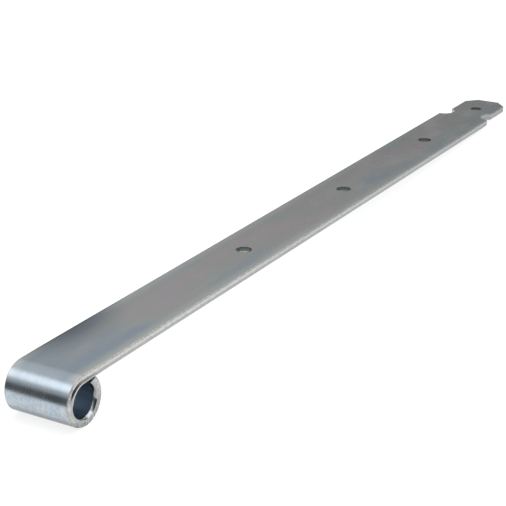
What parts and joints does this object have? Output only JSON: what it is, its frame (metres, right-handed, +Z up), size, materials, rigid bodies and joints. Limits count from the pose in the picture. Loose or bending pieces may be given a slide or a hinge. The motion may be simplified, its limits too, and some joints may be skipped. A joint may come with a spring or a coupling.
{
  "type": "strap hinge band",
  "caption": "Long flat steel band with its end rolled into an eye for a hinge pin, a row of round fixing holes and a notched, chamfered tip.",
  "frame": {"origin": "middle of the eye's bore, on its axis", "axes": "+X along the band from the eye to its tip, +Y along the bore, +Z up from the eye to the flat's top face"},
  "size_m": [0.5122, 0.0354, 0.0244],
  "materials": {
    "zinc_plated_steel": "bright zinc plating with a pale blue passivation"
  },
  "bodies": {
    "root": {"hinge_band": "zinc_plated_steel"}
  },
  "joints": []
}
